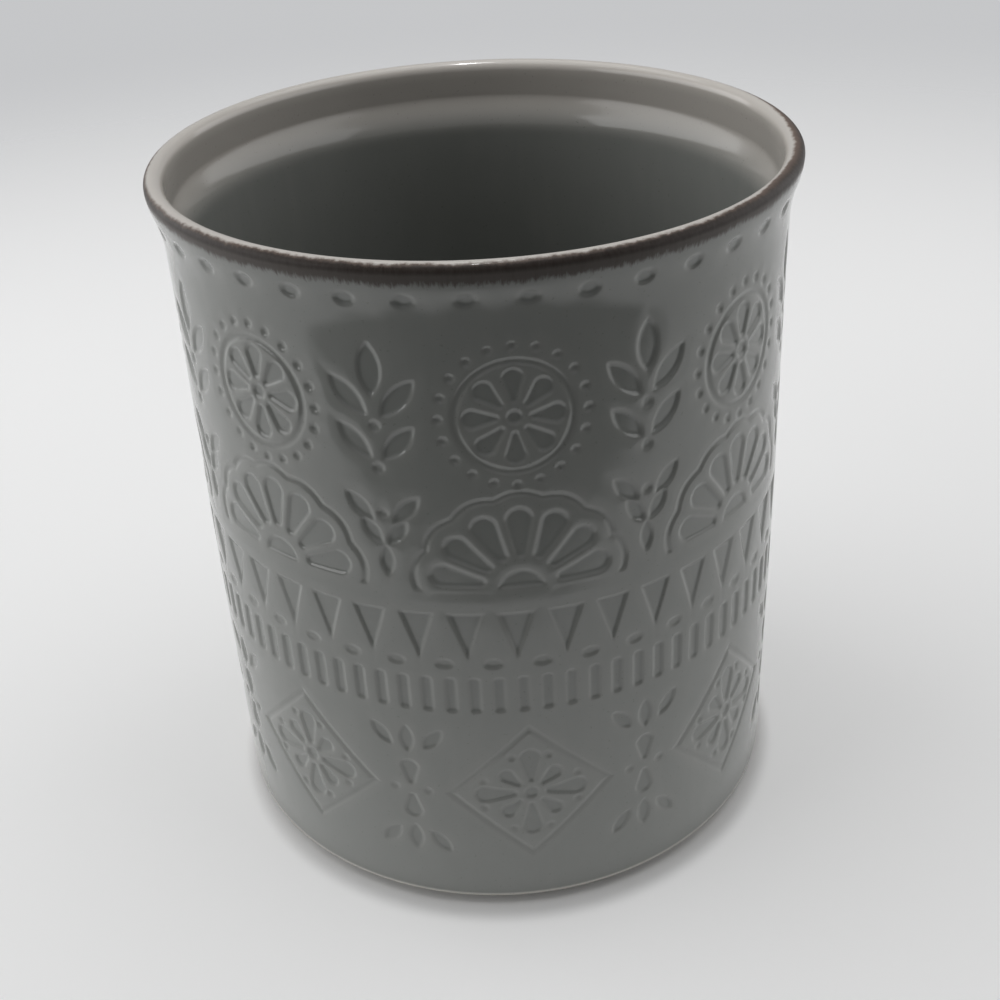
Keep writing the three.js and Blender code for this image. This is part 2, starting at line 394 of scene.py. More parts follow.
def tooth_course(bearing, level):
    """Hanging triangles, with a small oval between their tips."""
    x = abs(repeated(bearing, TEETH, TOOTH_BEARING))
    y = level - TOOTH_TIPS
    lean = math.atan2(TOOTH_WIDTH / 2, TOOTH_HEIGHT)
    side = x * math.cos(lean) - y * math.sin(lean)
    between_x = repeated(bearing, TEETH, TOOTH_BEARING + TURN / TEETH / 2)
    deep = [side.most(y - TOOTH_HEIGHT)]
    fine = [ellipse(between_x, y + OVAL_DROP, OVAL_WIDTH, OVAL_HEIGHT)]
    return deep, fine


def fan_course(bearing, level):
    """Fans of petals under a scalloped line, with leaf sprays between."""
    x = repeated(bearing, REPEATS, MOTIF_BEARING)
    y = level - FAN_FOOT
    above = -y
    along, across = folded(x, y, 2 * FAN_PETALS, math.pi / FAN_PETALS / 2)
    scallop = (across.math("ARCTAN2", along) * FAN_PETALS).math("COSINE") * SCALLOP
    arch = hypot(x, y) - scallop - (FAN_RADIUS + ARCH_CLEARANCE)
    between_x = abs(repeated(bearing, REPEATS, BETWEEN_BEARING))
    deep = [
        petal(along, across, *FAN_PETAL).most(above),
        (hypot(x, y) - FAN_HUB).most(FAN_HUB_FOOT - y),
    ]
    deep += [leaf(between_x, y, *sizes) for sizes in FAN_LEAVES]
    fine = [
        line_at(arch, ARCH_LINE).most(above),
        dot(between_x, y, *FAN_DOT),
    ]
    return deep, fine


def medallion_course(bearing, level):
    """Ringed rosettes with a beaded border, and tall leaf sprays between."""
    x = repeated(bearing, REPEATS, MOTIF_BEARING)
    y = level - MEDALLION_MIDDLE
    between_x = abs(repeated(bearing, REPEATS, BETWEEN_BEARING))
    deep = [
        petal(*folded(x, y, MEDALLION_PETALS, 0), *MEDALLION_PETAL),
        dot(x, y, *MEDALLION_EYE),
    ]
    deep += [leaf(between_x, y, *sizes) for sizes in MEDALLION_LEAVES]
    fine = [
        line_at(hypot(x, y) - MEDALLION_RADIUS, FRAME_LINE),
        dot(*folded(x, y, BORDER_BEADS, 0), *BORDER_BEAD),
    ]
    fine += [dot(between_x, y, *sizes) for sizes in MEDALLION_DOTS]
    return deep, fine


def eyelet_course(bearing, level):
    x = repeated(bearing, EYELETS, EYELET_BEARING)
    return [ellipse(x, level - EYELET_MIDDLE, EYELET_WIDTH, EYELET_HEIGHT)], []


RELIEF_COURSES = (
    lozenge_course,
    dash_course,
    tooth_course,
    fan_course,
    medallion_course,
    eyelet_course,
)


def add_sockets(tree):
    """Gives the relief's tree its sockets and returns the identifier of each size."""
    interface = tree.interface
    interface.new_socket("Geometry", in_out="INPUT", socket_type="NodeSocketGeometry")
    interface.new_socket("Geometry", in_out="OUTPUT", socket_type="NodeSocketGeometry")
    kinds = {name: "NodeSocketFloat" for name in RELIEF_SIZES}
    kinds["Glaze"] = "NodeSocketMaterial"
    identifiers = {}
    for name, kind in kinds.items():
        socket = interface.new_socket(name, in_out="INPUT", socket_type=kind)
        identifiers[name] = socket.identifier
    return identifiers


def press_depth(bearing, level, size):
    """How deep every point of the outside skin is pressed."""
    deep = []
    fine = []
    for course in RELIEF_COURSES:
        course_deep, course_fine = course(bearing, level)
        deep += course_deep
        fine += course_fine
    deep_share = least_of(deep).eased(size["Deep Softness"], -size["Deep Softness"])
    fine_share = least_of(fine).eased(size["Fine Softness"], -size["Fine Softness"])
    depth = (deep_share * size["Deep Press"]).most(fine_share * size["Fine Press"])
    sunk = least_of(deep + fine).eased(size["Sink Reach"], -size["Deep Softness"]) * size["Sink"]
    ends = (level - WALL_FOOT).eased(0, SINK_FADE) * (LIP_FOOT - level).eased(0, SINK_FADE)
    return depth + sunk * ends


def relief_tree():
    """Presses the lace relief into every point of the outside skin."""
    tree = bpy.data.node_groups.new("pressed_relief", "GeometryNodeTree")
    graph = Graph(tree)
    identifiers = add_sockets(tree)
    group = tree.nodes.new("NodeGroupInput")
    size = {socket.name: Wire(graph, socket) for socket in group.outputs if socket.name}
    x, y, level = axes(graph, graph.node("GeometryNodeInputPosition"))
    bearing = x.math("ARCTAN2", -y)
    skin = graph.node("GeometryNodeInputNamedAttribute", {"data_type": "FLOAT"}, {"Name": "skin"})
    depth = press_depth(bearing, level, size) * skin
    inward = graph.node("ShaderNodeCombineXYZ", None, {0: x, 1: y, 2: 0.0})
    inward = graph.node("ShaderNodeVectorMath", {"operation": "NORMALIZE"}, {0: inward})
    offset = graph.node("ShaderNodeVectorMath", {"operation": "SCALE"}, {0: inward, "Scale": -depth})
    pressed = graph.node(
        "GeometryNodeStoreNamedAttribute",
        {"data_type": "FLOAT", "domain": "POINT"},
        {"Geometry": size["Geometry"], "Name": "press", "Value": depth / size["Deep Press"]},
    )
    moved = graph.node("GeometryNodeSetPosition", None, {"Geometry": pressed, "Offset": offset})
    whole = graph.node("GeometryNodeRealizeInstances", None, {"Geometry": moved})
    glazed = graph.node("GeometryNodeSetMaterial", None, {"Geometry": whole, "Material": size["Glaze"]})
    graph.node("NodeGroupOutput", None, {0: glazed})
    return tree, identifiers


# Turned shapes


def spaced(start, end, step):
    """Levels from one end to the other, about a step apart."""
    return np.linspace(start, end, max(2, round(abs(end - start) / step) + 1))


def smooth(share):
    share = np.clip(share, 0, 1)
    return share * share * (3 - 2 * share)


def outer_radius(level):
    """Outside of the wall: straight belly, slight waist up to the neck, then the flare of the lip."""
    waist = smooth((level - LOZENGE_TOP) / (NECK_LEVEL - LOZENGE_TOP))
    flare = np.clip((level - NECK_LEVEL) / (LIP_WIDEST - NECK_LEVEL), 0, 1)
    return BELLY_RADIUS - NECK_PINCH * waist + (LIP_RADIUS - NECK_RADIUS) * smooth(flare**FLARE_POWER)


def inner_radius(level):
    """Inside of the wall: straight well, rounded shoulder, then the open mouth."""
    throat = MOUTH_RADIUS - MOUTH_DRAFT
    rise = np.clip((level - SHOULDER_FOOT) / SHOULDER_HEIGHT, 0, 1)
    shoulder = (throat - WELL_RADIUS) * smooth(rise**SHOULDER_POWER)
    mouth = MOUTH_DRAFT * np.clip((level - SHOULDER_TOP) / (LIP_INNER_TOP - SHOULDER_TOP), 0, 1)
    return WELL_RADIUS + shoulder + mouth


def quarter(radius, level, rounding, start, end):
    """Outline points of a round, angles in degrees from the outward direction."""
    count = max(ROUND_STEPS, round(abs(math.radians(end - start)) * rounding / CURVE_ROW))
    angles = np.radians(np.linspace(start, end, count + 1))
    return [(radius + rounding * math.cos(a), level + rounding * math.sin(a)) for a in angles]


def turned_mesh(name, outline, columns, sharp_rows):
    """A solid of revolution from an outline of (radius, level) points, drawn anticlockwise.

    An outline that starts and ends on the axis is closed there, and any other closes on itself.
    """
    on_axis = outline[0][0] == 0
    bearings = np.arange(columns) * TURN / columns
    ring = np.stack([np.sin(bearings), -np.cos(bearings)], axis=1)
    points = []
    rows = []
    for radius, level in outline:
        count = 1 if radius == 0 else columns
        rows.append(np.arange(count) + len(points))
        points += [(*xy, level) for xy in ring[:count] * radius]
    pairs = list(zip(rows, rows[1:])) if on_axis else list(zip(rows, rows[1:] + rows[:1]))
    faces = []
    for low, high in pairs:
        low_next = np.roll(low, -1)
        high_next = np.roll(high, -1)
        if len(low) == 1:
            faces += [(low[0], b, a) for a, b in zip(high, high_next)]
        elif len(high) == 1:
            faces += [(a, b, high[0]) for a, b in zip(low, low_next)]
        else:
            faces += list(zip(low, low_next, high_next, high))
    mesh = bpy.data.meshes.new(name)
    mesh.from_pydata(points, [], [tuple(int(v) for v in face) for face in faces], shade_flat=False)
    mark_sharp(mesh, [rows[i] for i in sharp_rows])
    return mesh


def mark_sharp(mesh, rows):
    """Keeps the shading apart on both sides of some rings of edges."""
    row_of = np.full(len(mesh.vertices), -1)
    for index, row in enumerate(rows):
        row_of[row] = index
    ends = np.empty(2 * len(mesh.edges), dtype=np.int32)
    mesh.edges.foreach_get("vertices", ends)
    first = row_of[ends[0::2]]
    second = row_of[ends[1::2]]
    sharp = mesh.attributes.new("sharp_edge", "BOOLEAN", "EDGE")
    sharp.data.foreach_set("value", (first >= 0) & (first == second))


def point_values(mesh, name, values):
    """Stores one number for each point, for a material or a geometry tree to read."""
    layer = mesh.attributes.new(name, "FLOAT", "POINT")
    layer.data.foreach_set("value", np.asarray(values, dtype=np.float32))


def piece(name, mesh, node, material):
    """Puts a finished mesh in the scene in place of a solid."""
    made = bpy.data.objects.new(name, mesh)
    bpy.context.scene.collection.objects.link(made)
    mesh.materials.clear()
    mesh.materials.append(material)
    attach(made, "root")
    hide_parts(node)
    return made


def inside_levels(low, high):
    """Levels down the inside of the wall, close together where its shoulder curves."""
    curve_foot = min(max(SHOULDER_FOOT, low), high)
    curved = spaced(high, curve_foot, CURVE_ROW) if curve_foot < high else np.array([high])
    straight = spaced(curve_foot, low, PLAIN_ROW) if curve_foot > low else np.array([low])
    return np.concatenate([curved, straight[1:]])


def wall_course(name, low, high, tree, identifiers, glaze):
    """One height of the wall: a ring whose outside skin takes the relief."""
    outside = spaced(low, high, RELIEF_ROW)
    inside = inside_levels(low, high)
    outline = list(zip(outer_radius(outside), outside)) + list(zip(inner_radius(inside), inside))
    corners = (0, len(outside) - 1, len(outside), len(outline) - 1)
    mesh = turned_mesh(name, outline, RELIEF_COLUMNS, corners)
    point_values(mesh, "skin", np.repeat(np.arange(len(outline)) < len(outside), RELIEF_COLUMNS))
    blank = bpy.data.objects.new(name + "_blank", mesh)
    bpy.context.scene.collection.objects.link(blank)
    press = blank.modifiers.new("relief", "NODES")
    press.node_group = tree
    for size, value in RELIEF_SIZES.items():
        press[identifiers[size]] = value
    press[identifiers["Glaze"]] = glaze
    depsgraph = bpy.context.evaluated_depsgraph_get()
    pressed = blank.evaluated_get(depsgraph)
    finished = bpy.data.meshes.new_from_object(pressed, preserve_all_data_layers=True, depsgraph=depsgraph)
    finished.name = name
    bpy.data.objects.remove(blank)
    bpy.data.meshes.remove(mesh)
    return piece(name, finished, "crock_wall", glaze)


def make_wall(glaze):
    """The wall, in courses that meet on plain stretches or on the middle line of a tall motif."""
    tree, identifiers = relief_tree()
    courses = {
        "lower_lozenge_wall": (WALL_FOOT, LOZENGE_MIDDLE),
        "upper_lozenge_wall": (LOZENGE_MIDDLE, DASH_SEAM),
        "dash_wall": (DASH_SEAM, TOOTH_SEAM),
        "tooth_wall": (TOOTH_SEAM, FAN_SEAM),
        "fan_wall": (FAN_SEAM, MEDALLION_SEAM),
        "lower_medallion_wall": (MEDALLION_SEAM, MEDALLION_MIDDLE),
        "upper_medallion_wall": (MEDALLION_MIDDLE, NECK_SEAM),
        "neck_wall": (NECK_SEAM, LIP_FOOT),
    }
    for name, (low, high) in courses.items():
        wall_course(name, low, high, tree, identifiers, glaze)


def make_lip(material):
    """The flared lip. Its points know how far over the crest they lie, for the brown wash."""
    outside = spaced(LIP_FOOT, LIP_WIDEST, CURVE_ROW)
    inside = spaced(LIP_INNER_TOP, LIP_FOOT, CURVE_ROW)
    outer_round = quarter(LIP_RADIUS - LIP_OUTER_ROUND, LIP_WIDEST, LIP_OUTER_ROUND, 0, 90)
    inner_round = quarter(MOUTH_RADIUS + LIP_INNER_ROUND, LIP_INNER_TOP, LIP_INNER_ROUND, 90, 180)
    outer_side = list(zip(outer_radius(outside), outside)) + outer_round[1:]
    outline = outer_side + inner_round[1:] + list(zip(inner_radius(inside), inside))[1:]
    mesh = turned_mesh("lip", outline, RELIEF_COLUMNS, (0, len(outline) - 1))
    steps = [math.dist(a, b) for a, b in zip(outline, outline[1:])]
    along = np.concatenate([[0], np.cumsum(steps)])
    over = along[len(outer_side) - 1] - along
    point_values(mesh, "over_crest", np.repeat(over, RELIEF_COLUMNS))
    return piece("brown_lip", mesh, "rim_lip", material)


def make_floor(glaze):
    """The bottom of the well, with the round that leads into the wall and the wall's lower edge."""
    fillet = quarter(WELL_RADIUS - WELL_FILLET, WALL_FOOT, WELL_FILLET, 0, -90)
    flat_reach = BELLY_RADIUS - BASE_EDGE_ROUND
    edge_level = FOOT_TOP + BASE_EDGE_ROUND
    under = [(radius, FOOT_TOP) for radius in spaced(0, flat_reach, PLAIN_ROW)[:-1]]
    edge = quarter(flat_reach, edge_level, BASE_EDGE_ROUND, -90, 0)
    side = edge + [(BELLY_RADIUS, level) for level in spaced(edge_level, WALL_FOOT, EDGE_ROW)[1:]]
    top = [(radius, FLOOR_TOP) for radius in spaced(WELL_RADIUS - WELL_FILLET, 0, PLAIN_ROW)[1:]]
    outline = under + side + fillet + top
    corners = (len(under) + len(side) - 1, len(under) + len(side))
    mesh = turned_mesh("floor", outline, PLAIN_COLUMNS, corners)
    return piece("well_floor", mesh, "floor_slab", glaze)


def make_foot(clay):
    """The unglazed ring that the crock stands on, set in from the wall."""
    inside = FOOT_RADIUS - FOOT_WIDTH
    edge = quarter(FOOT_RADIUS - FOOT_EDGE_ROUND, FOOT_EDGE_ROUND, FOOT_EDGE_ROUND, -90, 0)
    flat = [(radius, 0.0) for radius in spaced(inside, FOOT_RADIUS - FOOT_EDGE_ROUND, EDGE_ROW)[:-1]]
    outline = flat + edge + [(FOOT_RADIUS, FOOT_TOP), (inside, FOOT_TOP)]
    corners = (0, len(outline) - 2, len(outline) - 1)
    mesh = turned_mesh("foot", outline, PLAIN_COLUMNS, corners)
    return piece("bare_foot", mesh, "foot_ring", clay)


# Finishes


def new_material(name):
    """A material, its node tree, and the place on the object that its patterns follow."""
    material = bpy.data.materials.new(name)
    material.use_nodes = True
    graph = Graph(material.node_tree)
    return material, graph, graph.node("ShaderNodeTexCoord", None, None, "Object")


def rgba(colour):
    return (*colour, 1)


def mix(graph, factor, first, second):
    """A blend of two colours."""
    settings = {"data_type": "RGBA"}
    return graph.node("ShaderNodeMix", settings, {"Factor": factor, 6: first, 7: second}, 2)


def noise(graph, place, per_metre, detail=2.0, roughness=0.5):
    inputs = {"Vector": place, "Scale": per_metre, "Detail": detail, "Roughness": roughness}
    return graph.node("ShaderNodeTexNoise", None, inputs)


def swing(graph, place, per_metre, detail=2.0, roughness=0.5):
    """Noise about zero."""
    return noise(graph, place, per_metre, detail, roughness) - 0.5


def drawn_out(graph, place, share):
    """A place whose patterns are drawn out upwards."""
    return graph.node("ShaderNodeMapping", None, {"Vector": place, "Scale": (1, 1, share)})


def bumps(graph, strength, height):
    inputs = {"Strength": strength, "Distance": 1.0, "Height": height}
    return graph.node("ShaderNodeBump", None, inputs)


def coating(graph, colour, roughness, normal, ior):
    """A Principled surface."""
    inputs = {"Base Color": colour, "Roughness": roughness, "Normal": normal, "IOR": ior}
    return graph.node("ShaderNodeBsdfPrincipled", None, inputs)


def shown(graph, surface):
    graph.node("ShaderNodeOutputMaterial", None, {"Surface": surface})


# Grey glaze: its colours, the scale of its patterns per metre, and how much each of them shows
GLAZE_GREY = (0.256, 0.264, 0.25)
GLAZE_POOLED = (0.2, 0.209, 0.197)
GLAZE_THIN = (0.36, 0.355, 0.333)
# Painted light: the glaze inside the mouth is paler and warmer
GLAZE_MOUTH_PAINTED_LIGHT = (0.39, 0.368, 0.338)
# Thin glaze with a painted highlight: the pale line on the wall's lower edge
GLAZE_EDGE_AND_HIGHLIGHT = (0.64, 0.615, 0.57)
GLAZE_FLECK = (0.14, 0.14, 0.13)
CLOUD_SCALE = 55
STREAK_SCALE = 160
STREAK_DRAW = 0.22
FLECK_SCALE = 1400
FLECK_START = 0.7
FLECK_FULL = 0.78
POOL_SHARE = 0.25
CLOUD_SHARE = 0.4
THIN_SHARE = 0.14
STREAK_SHARE = 0.4
LOWER_EDGE_HIGHLIGHT_SHARE = 0.9
FLECK_SHARE = 0.35
GLAZE_IOR = 1.52
GLOSS_SCALE = 180
GLOSS_LEAST = 0.04  # roughness
GLOSS_SWING = 0.05
GLOSS_MOUTH = 0.16

# Painted light inside the mouth, and thin glaze with a painted highlight on the wall's lower edge: how far
# each reaches and over what length it fades
MOUTH_REACH = 0.4 * MM
MOUTH_FADE = 0.6 * MM
MOUTH_BELOW_SHOULDER = 1 * MM
EDGE_DEPTH = 0.8 * MM
EDGE_HEIGHT = 0.9 * MM
EDGE_FADE = 0.8 * MM

# Waviness of the glaze and its faint orange peel
WAVE_SCALE = 75
WAVE_HEIGHT = 0.16 * MM
PEEL_SCALE = 420
PEEL_HEIGHT = 0.006 * MM


def mouth_mask(graph, place):
    """1 inside the mouth, fading out over the shoulder, where painted light makes the glaze paler and
    warmer.
    """
    x, y, level = axes(graph, place)
    reach = MOUTH_RADIUS + MOUTH_REACH
    inside = hypot(x, y).eased(reach + MOUTH_FADE, reach)
    return inside * level.eased(SHOULDER_FOOT - MOUTH_BELOW_SHOULDER, SHOULDER_TOP)


def lower_edge_highlight_mask(graph, place):
    """1 on the rounded lower edge of the wall, where the glaze runs thin and a pale line is painted as a
    highlight.
    """
    x, y, level = axes(graph, place)
    depth = BELLY_RADIUS - EDGE_DEPTH
    height = FOOT_TOP + EDGE_HEIGHT
    return hypot(x, y).eased(depth - EDGE_FADE, depth) * level.eased(height + EDGE_FADE, height)


def glaze_colour(graph, place):
    """Grey glaze: cloudy, darker where it pools in the relief and paler where it runs thin over edges, with
    painted light inside the mouth and a painted highlight on the wall's lower edge.
    """
    press = graph.node("ShaderNodeAttribute", {"attribute_name": "press"}, None, "Fac")
    clouds = swing(graph, place, CLOUD_SCALE, 3)
    streaks = swing(graph, drawn_out(graph, place, STREAK_DRAW), STREAK_SCALE)
    pooled = (press * POOL_SHARE + clouds * CLOUD_SHARE).most(0)
    edge = (press * (1 - press) * 4).most(0)  # 1 halfway down the side of a motif
    thin = edge * THIN_SHARE + streaks.most(0) * STREAK_SHARE
    colour = mix(graph, pooled, rgba(GLAZE_GREY), rgba(GLAZE_POOLED))
    colour = mix(graph, thin, colour, rgba(GLAZE_THIN))
    # Painted light: paler and warmer inside the mouth
    colour = mix(graph, mouth_mask(graph, place), colour, rgba(GLAZE_MOUTH_PAINTED_LIGHT))
    # Painted highlight, with thin glaze: a pale line along the wall's lower edge
    colour = mix(graph, lower_edge_highlight_mask(graph, place) * LOWER_EDGE_HIGHLIGHT_SHARE, colour, rgba(GLAZE_EDGE_AND_HIGHLIGHT))
    flecks = noise(graph, place, FLECK_SCALE, 1).eased(FLECK_START, FLECK_FULL)
    return mix(graph, flecks * FLECK_SHARE, colour, rgba(GLAZE_FLECK))


def glaze_bump(graph, place):
    """Slight waviness of the glaze and a faint orange peel."""
    waves = noise(graph, place, WAVE_SCALE, 1) * WAVE_HEIGHT
    peel = noise(graph, place, PEEL_SCALE, 1) * PEEL_HEIGHT
    return bumps(graph, 1.0, waves + peel)


def grey_glaze():
    material, graph, place = new_material("pressed_glaze")
    patches = noise(graph, place, GLOSS_SCALE)
    roughness = patches * GLOSS_SWING + GLOSS_LEAST + mouth_mask(graph, place) * GLOSS_MOUTH
    shown(graph, coating(graph, glaze_colour(graph, place), roughness, glaze_bump(graph, place), GLAZE_IOR))
    return material


# Brown wash on the lip: its colours, then where it starts and ends, as lengths down from the crest
BROWN_DARK = (0.017, 0.009, 0.006)
BROWN_THIN = (0.105, 0.092, 0.084)
BROWN_WASH = (0.15, 0.105, 0.083)
# Pale crest: thin glaze and a painted highlight
CREST_PALE_AND_HIGHLIGHT = (0.65, 0.61, 0.565)
CREST_SHARE = 0.8
WASH_FOOT = 5.2 * MM
WASH_FOOT_RISE = 1.5 * MM  # at the sides
WASH_FEATHER = (-0.5 * MM, 0.6 * MM)
WASH_TOP = 0.65 * MM
WASH_TOP_DROP = 0.3 * MM  # at the sides
WASH_RAGGED = (-0.3 * MM, 0.4 * MM)
WASH_CREEP = 1.8 * MM  # how much further it creeps over the crest on the right
CREEP_BEARING = math.radians(12)  # middle of the creep, from the right to the front
CREEP_SPAN = (0.76 * LIP_RADIUS, 0.96 * LIP_RADIUS)
THIN_BORDER = 0.9 * MM  # where the wash thins out at its top
THIN_CREEP = 1.3 * MM
DARK_CORE = (2.4 * MM, 3.6 * MM)
DARK_SHARE = 0.9
WASH_COVER = 0.96
SIDE_SPAN = (0.5 * LIP_RADIUS, LIP_RADIUS)

# The pale crest, thin glaze with a painted highlight, which also paints light on the inside of the lip:
# where it comes up on the inside, and where it ends on the outside
CREST_INSIDE = (-6.5 * MM, -0.8 * MM)
CREST_OUTSIDE = (0.6 * MM, 2 * MM)

# Brush strokes, their slow drift and the chips at the crest: scale per metre, and how far they move a border
STROKE_DRAW = 0.18
STROKE_SCALE = 1300
STROKE_REACH = 3.2 * MM
STROKE_SHARE = 0.5
DRIFT_SCALE = 60
DRIFT_FOOT = 2 * MM
DRIFT_TOP = 1.8 * MM
CHIP_SCALE = 650
CHIP_REACH = 1.6 * MM

# Gloss of the lip: roughness and refraction of the glaze and of the dry wash
LIP_GLOSS_SCALE = 300
LIP_GLAZE_ROUGHNESS = (0.1, 0.08)
LIP_GLAZE_IOR = 1.5
WASH_ROUGHNESS = (0.38, 0.15)
WASH_IOR = 1.28


def brown_lip():
    """A dry brown wash brushed over the outside of the lip, feathered below and ragged at the crest.

    It is thin and warm along its upper border, and creeps over the crest on the right.
    """
    material, graph, place = new_material("brushed_lip")
    over = graph.node("ShaderNodeAttribute", {"attribute_name": "over_crest"}, None, "Fac")
    upright = drawn_out(graph, place, STROKE_DRAW)
    strokes = swing(graph, upright, STROKE_SCALE, 2, 0.7)
    drift = swing(graph, upright, DRIFT_SCALE, 1)
    chips = swing(graph, place, CHIP_SCALE, 3, 0.65)
    x, y, _ = axes(graph, place)
    sides = abs(x).eased(*SIDE_SPAN)
    creep = (x * math.cos(CREEP_BEARING) - y * math.sin(CREEP_BEARING)).eased(*CREEP_SPAN)
    lower = WASH_FOOT - sides * WASH_FOOT_RISE + strokes * STROKE_REACH + drift * DRIFT_FOOT
    upper = WASH_TOP + sides * WASH_TOP_DROP - creep * WASH_CREEP + chips * CHIP_REACH + drift * DRIFT_TOP
    below = 1 - (over - lower).share(*WASH_FEATHER)
    above = (over - upper).share(*WASH_RAGGED)
    core = 1 - over.eased(*DARK_CORE)
    thick = (over - upper).share(0, THIN_BORDER + creep * THIN_CREEP)
    brown = mix(graph, core * DARK_SHARE + strokes * STROKE_SHARE, rgba(BROWN_THIN), rgba(BROWN_DARK))
    brown = mix(graph, thick, rgba(BROWN_WASH), brown)
    # Painted highlight and painted light, with thin glaze: the crest and the inside of the lip are paler
    crest = over.eased(*CREST_INSIDE) * (1 - over.eased(*CREST_OUTSIDE))
    ground = mix(graph, crest * CREST_SHARE, glaze_colour(graph, place), rgba(CREST_PALE_AND_HIGHLIGHT))
    bump = glaze_bump(graph, place)
    patches = noise(graph, place, LIP_GLOSS_SCALE)
    smooth_least, smooth_swing = LIP_GLAZE_ROUGHNESS
    dry_least, dry_swing = WASH_ROUGHNESS
    glazed = coating(graph, ground, patches * smooth_swing + smooth_least, bump, LIP_GLAZE_IOR)
    brushed = coating(graph, brown, patches * dry_swing + dry_least, bump, WASH_IOR)
    cover = below * above * WASH_COVER
    shown(graph, graph.node("ShaderNodeMixShader", None, {0: cover, 1: glazed, 2: brushed}))
    return material


# Bare clay of the foot
CLAY_PALE = (0.62, 0.575, 0.5)
CLAY_DARK = (0.5, 0.45, 0.38)
GRAIN_SCALE = 1500
GRAIN_SHARE = 0.6
GRAIN_HEIGHT = 0.08 * MM
GRAIN_STRENGTH = 0.8
STAIN_SCALE = 90
STAIN_SHARE = 0.5
STAIN_LEAST = 0.3
CLAY_ROUGHNESS = (0.7, 0.2)
CLAY_IOR = 1.5


def bare_clay():
    material, graph, place = new_material("foot_clay")
    grain = noise(graph, place, GRAIN_SCALE, 4, 0.6)
    stain = noise(graph, place, STAIN_SCALE, 3)
    dark = grain * GRAIN_SHARE + stain * STAIN_SHARE - STAIN_LEAST
    colour = mix(graph, dark, rgba(CLAY_PALE), rgba(CLAY_DARK))
    bump = bumps(graph, GRAIN_STRENGTH, grain * GRAIN_HEIGHT)
    rough_least, rough_swing = CLAY_ROUGHNESS
    shown(graph, coating(graph, colour, grain * rough_swing + rough_least, bump, CLAY_IOR))
    return material


# Floor: its colours, where it fades into the backdrop, and where it turns black for reflections and bounced
# light only, a painted dark reflection on the crock's front, as distances
FLOOR_WHITE = (0.88, 0.88, 0.88)
FLOOR_BLACK_FOR_REFLECTIONS = (0.03, 0.03, 0.03)
FLOOR_REACH = 6.0
FADE_START = 0.3
FADE_END = 0.95
BLACK_FRONT = 0.185
BLACK_FADE = 0.07


def floor_finish():
    """Pale for the camera, fading into the backdrop far out, and black before the crock for reflections and
    bounced light: a painted dark reflection across the crock's front.
    """
    material, graph, place = new_material("studio_floor")
    x, y, _ = axes(graph, place)
    camera = graph.node("ShaderNodeLightPath", None, None, "Is Camera Ray")
    # Black only for rays that do not come from the camera: a painted dark reflection on the crock's front,
    # and less light bounced onto it
    front = y.eased(-BLACK_FRONT, -BLACK_FRONT - BLACK_FADE) * (1 - camera)
    far = hypot(x, y).eased(FADE_START, FADE_END) * camera
    pale = graph.node("ShaderNodeBsdfDiffuse", None, {"Color": rgba(FLOOR_WHITE)})
    black = graph.node("ShaderNodeBsdfDiffuse", None, {"Color": rgba(FLOOR_BLACK_FOR_REFLECTIONS)})
    clear = graph.node("ShaderNodeBsdfTransparent")
    surface = graph.node("ShaderNodeMixShader", None, {0: front, 1: pale, 2: black})
    shown(graph, graph.node("ShaderNodeMixShader", None, {0: far, 1: surface, 2: clear}))
    return material


def make_stage():
    """The floor that the crock stands on."""
    reach = FLOOR_REACH
    corners = [(-reach, -reach, 0), (reach, -reach, 0), (reach, reach, 0), (-reach, reach, 0)]
    mesh = bpy.data.meshes.new("studio_floor")
    mesh.from_pydata(corners, [], [(0, 1, 2, 3)])
    mesh.materials.append(floor_finish())
    sheet = bpy.data.objects.new("studio_floor", mesh)
    bpy.context.scene.collection.objects.link(sheet)


# Lamps: a distant one overhead, which leans by these degrees, and soft boxes that face the crock
KEY_LEFT = 0.15
KEY_BACK = 1.1
KEY_SPREAD = 1.6
KEY_STRENGTH = 0.72
LIGHT_TARGET = Vector((0, 0, 0.08))
SOFT_BOXES = {  # place, width, height and watts
    "top_light": ((0, 0.25, 1.6), 2.0, 1.6, 12),
    "left_light": ((-1.4, 0.1, 0.6), 2.4, 1.1, 16.5),
    "right_light": ((1.4, 0.1, 0.6), 2.4, 1.1, 9.5),
}


def soft_box(name, place, width, height, watts):
    lamp = bpy.data.lights.new(name, "AREA")
    lamp.shape = "RECTANGLE"
    lamp.size = width
    lamp.size_y = height
    lamp.energy = watts
    made = bpy.data.objects.new(name, lamp)
    made.location = place
    made.rotation_euler = (LIGHT_TARGET - Vector(place)).to_track_quat("-Z", "Y").to_euler()
    bpy.context.scene.collection.objects.link(made)


def key_light():
    """A distant lamp overhead that leans a little."""
    lamp = bpy.data.lights.new("key_light", "SUN")
    lamp.angle = math.radians(KEY_SPREAD)
    lamp.energy = KEY_STRENGTH
    made = bpy.data.objects.new("key_light", lamp)
    made.rotation_euler = (-math.radians(KEY_BACK), -math.radians(KEY_LEFT), 0)
    bpy.context.scene.collection.objects.link(made)


def make_lights():
    key_light()
    for name, sizes in SOFT_BOXES.items():
        soft_box(name, *sizes)


# Backdrop: its colour, and its strength for the camera, for the gloss and as a light
BACKDROP_PALE = (0.97, 0.98, 1)
BACKDROP_STRENGTH = 0.58
GLOSS_STRENGTH = 0.3
SKY_STRENGTH = 0.05


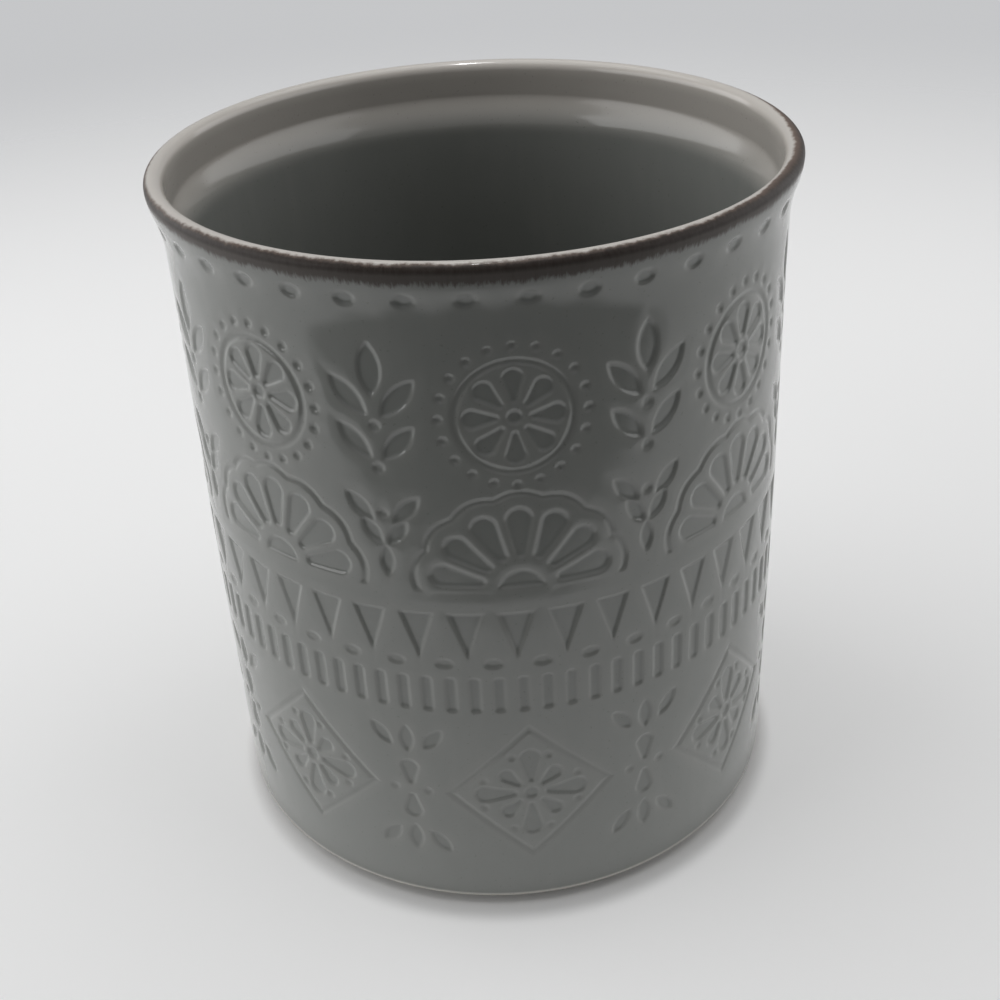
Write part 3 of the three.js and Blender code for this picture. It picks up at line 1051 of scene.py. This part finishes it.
def make_world():
    """A pale backdrop for the camera, a dimmer one for the gloss, and hardly any light from either."""
    world = bpy.data.worlds.new("studio")
    world.use_nodes = True
    graph = Graph(world.node_tree)
    rays = ("Is Camera Ray", "Is Glossy Ray", "Is Transmission Ray")
    camera, glossy, through = (graph.node("ShaderNodeLightPath", None, None, ray) for ray in rays)
    backdrop = camera.most(through) * BACKDROP_STRENGTH
    strength = backdrop.most(glossy * GLOSS_STRENGTH).most(SKY_STRENGTH)
    sky = graph.node("ShaderNodeBackground", None, {"Color": rgba(BACKDROP_PALE), "Strength": strength})
    graph.node("ShaderNodeOutputWorld", None, {"Surface": sky})
    bpy.context.scene.world = world


# The photograph's viewpoint: where the camera stands, and how far it looks down, turns and tilts, in radians
CAMERA_PLACE = Vector((0, -0.3175, 0.276))
CAMERA_DOWN = 0.5602
CAMERA_TURN = 0.0049
CAMERA_TILT = -0.0569
CAMERA_LENS_MM = 48.11
CAMERA_SENSOR_MM = 36
CAMERA_NEAREST = 0.01


def make_camera():
    forward = Vector((0, math.cos(CAMERA_DOWN), -math.sin(CAMERA_DOWN)))
    right = Vector((1, 0, 0))
    up = Vector((0, math.sin(CAMERA_DOWN), math.cos(CAMERA_DOWN)))
    turn_cos, turn_sin = math.cos(CAMERA_TURN), math.sin(CAMERA_TURN)
    forward, right = forward * turn_cos + right * turn_sin, right * turn_cos - forward * turn_sin
    tilt_cos, tilt_sin = math.cos(CAMERA_TILT), math.sin(CAMERA_TILT)
    right, up = right * tilt_cos + up * tilt_sin, up * tilt_cos - right * tilt_sin
    lens = bpy.data.cameras.new("camera")
    lens.sensor_width = CAMERA_SENSOR_MM
    lens.lens = CAMERA_LENS_MM
    lens.clip_start = CAMERA_NEAREST
    camera = bpy.data.objects.new("camera", lens)
    turned = Matrix((right, up, -forward)).transposed().to_4x4()
    camera.matrix_world = Matrix.Translation(CAMERA_PLACE) @ turned
    bpy.context.scene.collection.objects.link(camera)
    bpy.context.scene.camera = camera


make_camera()
glaze = grey_glaze()
make_wall(glaze)
make_lip(brown_lip())
make_floor(glaze)
make_foot(bare_clay())
make_stage()
make_lights()
make_world()
bpy.context.scene.view_settings.view_transform = "Standard"
